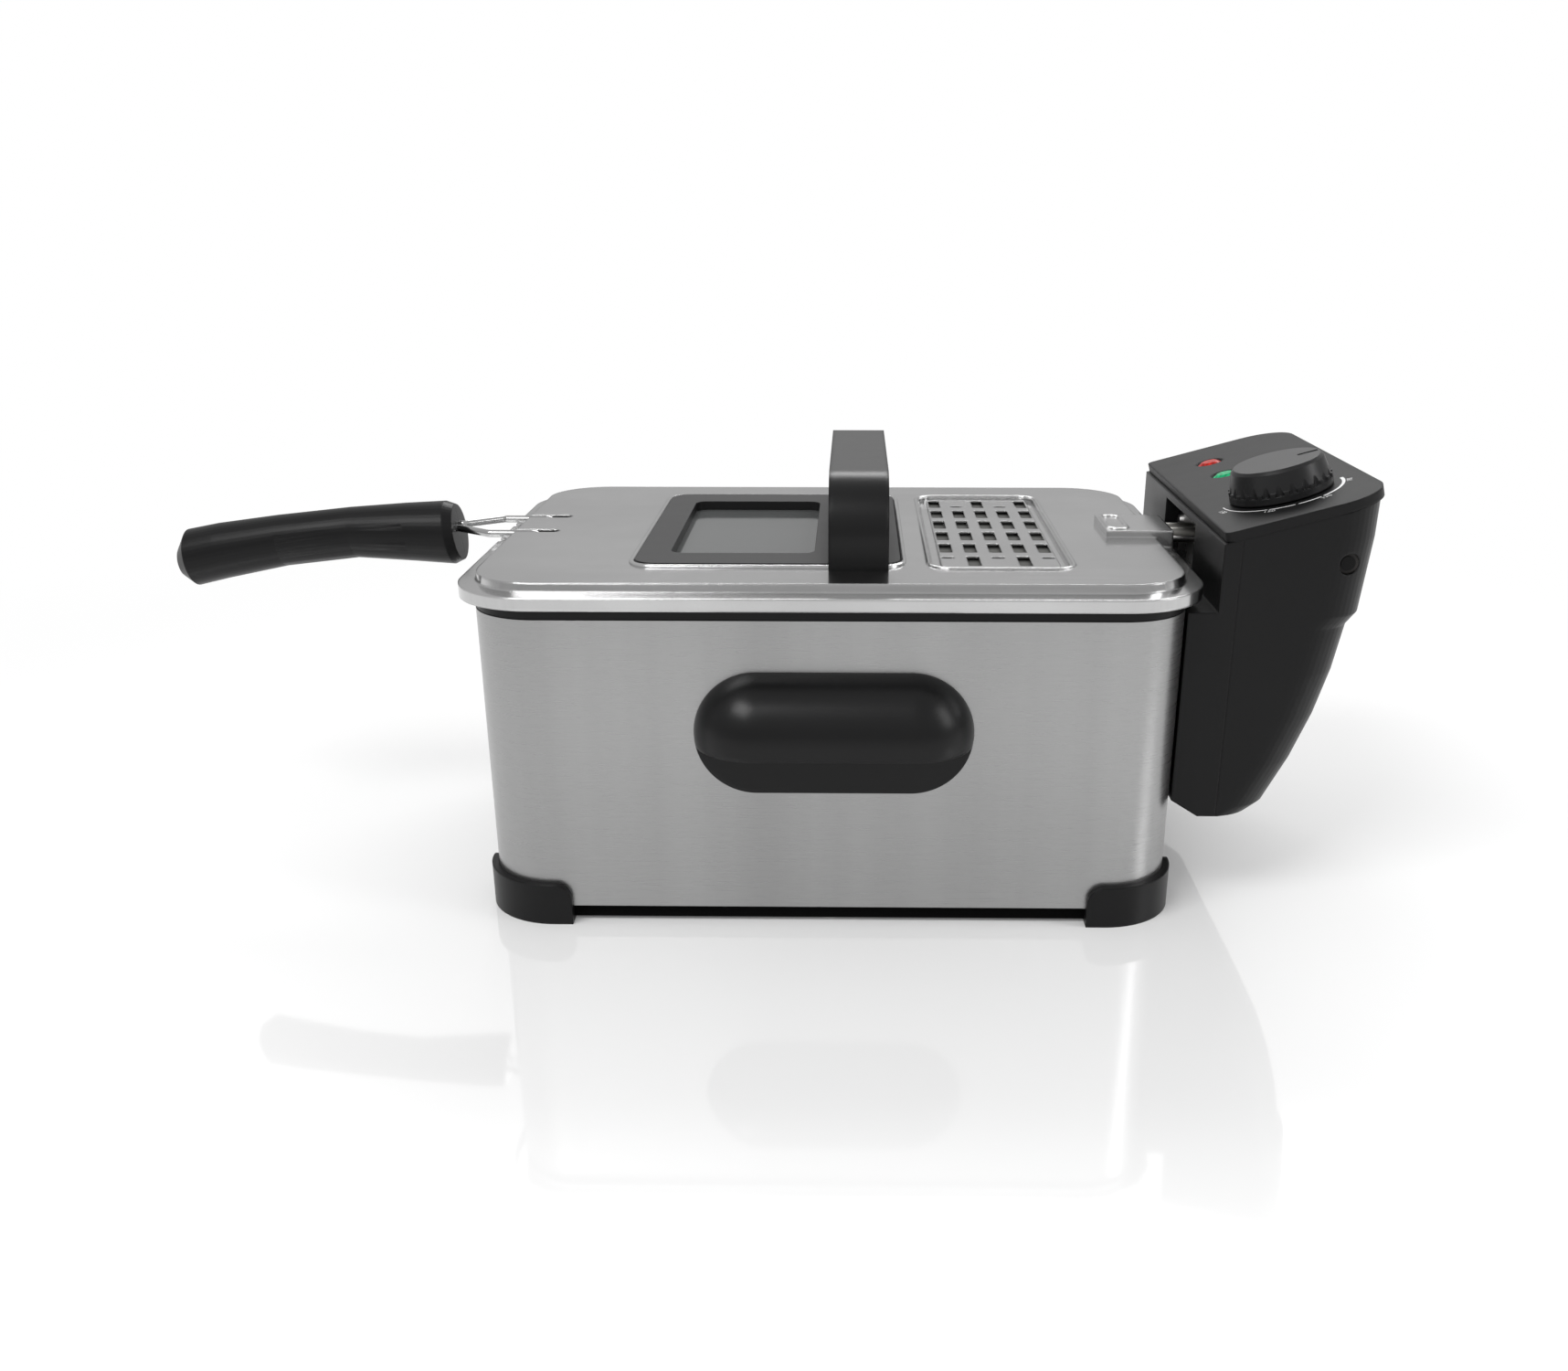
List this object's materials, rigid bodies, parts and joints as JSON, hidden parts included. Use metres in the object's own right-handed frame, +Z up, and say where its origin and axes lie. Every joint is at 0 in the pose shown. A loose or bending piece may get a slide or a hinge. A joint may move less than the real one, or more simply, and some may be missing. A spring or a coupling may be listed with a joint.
{
  "type": "deep fryer",
  "caption": "Household deep fryer with steel casing, lift-out oil tank, plug-in control head with element, wire basket with folding handle, and lift-off lid with window and vent.",
  "frame": {"origin": "on the surface the feet stand on, under the middle of the steel casing", "axes": "+X along the length towards the control head, +Y towards the back, +Z up"},
  "size_m": [0.5108, 0.25, 0.1827],
  "materials": {
    "casing_steel": "satin, brushed along its length",
    "black_plastic": "fine grained",
    "panel_plastic": "satin",
    "grey_rubber": "matt",
    "zinc_steel": "zinc plated",
    "tank_steel": "drawn and polished",
    "element_sheath": "darkened by heat",
    "copper_bulb": "dull",
    "wire_chrome": "polished",
    "glass_clear": "clear",
    "lamp_red": "translucent",
    "lamp_green": "translucent",
    "button_red": "moulded",
    "white_plastic": "moulded",
    "dark_moulding": "thermoset",
    "filter_pad": "fibre pad"
  },
  "bodies": {
    "casing": {"casing": "casing_steel", "rim_ring": "black_plastic", "base_plate": "black_plastic", "foot_front_left": "black_plastic", "foot_front_right": "black_plastic", "foot_rear_left": "black_plastic", "foot_rear_right": "black_plastic", "foot_pads": "grey_rubber", "base_screws": "zinc_steel", "carry_handle_front": "black_plastic", "carry_handle_rear": "black_plastic", "carry_handle_screws": "zinc_steel", "head_guide": "zinc_steel", "guide_rivets": "zinc_steel"},
    "oil_tank": {"oil_tank": "tank_steel"},
    "control_head": {"heating_element": "element_sheath", "element_support": "element_sheath", "element_guard": "element_sheath", "tube_clips": "zinc_steel", "thermostat_bulb": "copper_bulb", "cutout_bulb": "copper_bulb", "head_chassis": "zinc_steel", "neck_screws": "zinc_steel", "head_shell_inner": "black_plastic", "head_shell_outer": "black_plastic", "head_panel": "panel_plastic", "head_screws": "zinc_steel", "thermostat": "dark_moulding", "lamp_red": "lamp_red", "lamp_green": "lamp_green", "lamp_holders": "white_plastic", "thermal_cutout": "dark_moulding", "seat_switch": "dark_moulding", "switch_plunger": "white_plastic", "terminal_block": "white_plastic", "cord_gland": "grey_rubber"},
    "knob": {"thermostat_shaft": "zinc_steel", "control_knob": "black_plastic", "knob_pointer": "white_plastic"},
    "reset_button": {"reset_button": "button_red"},
    "basket": {"basket_mesh": "wire_chrome", "basket_floor": "wire_chrome", "basket_rim": "wire_chrome", "basket_base_frame": "wire_chrome", "handle_bracket": "wire_chrome", "drain_hook": "wire_chrome"},
    "basket_handle": {"handle_wires": "wire_chrome", "grip_front": "black_plastic", "grip_rear": "black_plastic", "grip_screws": "zinc_steel"},
    "lid": {"lid_pan": "tank_steel", "window_frame": "black_plastic", "window_glass": "glass_clear", "window_gasket": "grey_rubber", "window_clamp": "zinc_steel", "lid_handle": "black_plastic", "lid_handle_screws": "zinc_steel", "vent_filter": "filter_pad", "filter_cover": "tank_steel"}
  },
  "joints": [
    {"name": "tank_lift", "type": "slide", "parent": "casing", "child": "oil_tank", "axis": [0, 0, 1], "range_m": [0, 0.16]},
    {"name": "head_lift", "type": "slide", "parent": "oil_tank", "child": "control_head", "axis": [0, 0, 1], "range_m": [0, 0.16]},
    {"name": "knob_turn", "type": "hinge", "parent": "control_head", "child": "knob", "pos_m": [0.18291, -0.042, 0.16528], "axis": [-0.2588, 0, 0.9659], "range_deg": [-250, 0]},
    {"name": "reset_press", "type": "slide", "parent": "control_head", "child": "reset_button", "axis": [0, 1, 0], "range_m": [0, 0.002], "stiffness_N_per_m": 400, "springref_m": -0.001},
    {"name": "basket_lift", "type": "slide", "parent": "control_head", "child": "basket", "axis": [0, 0, 1], "range_m": [0, 0.18]},
    {"name": "handle_fold", "type": "hinge", "parent": "basket", "child": "basket_handle", "pos_m": [-0.1272, 0.01, 0.131], "axis": [0, 1, 0], "range_deg": [0, 60]},
    {"name": "lid_lift", "type": "slide", "parent": "basket", "child": "lid", "axis": [0, 0, 1], "range_m": [0, 0.22]}
  ]
}
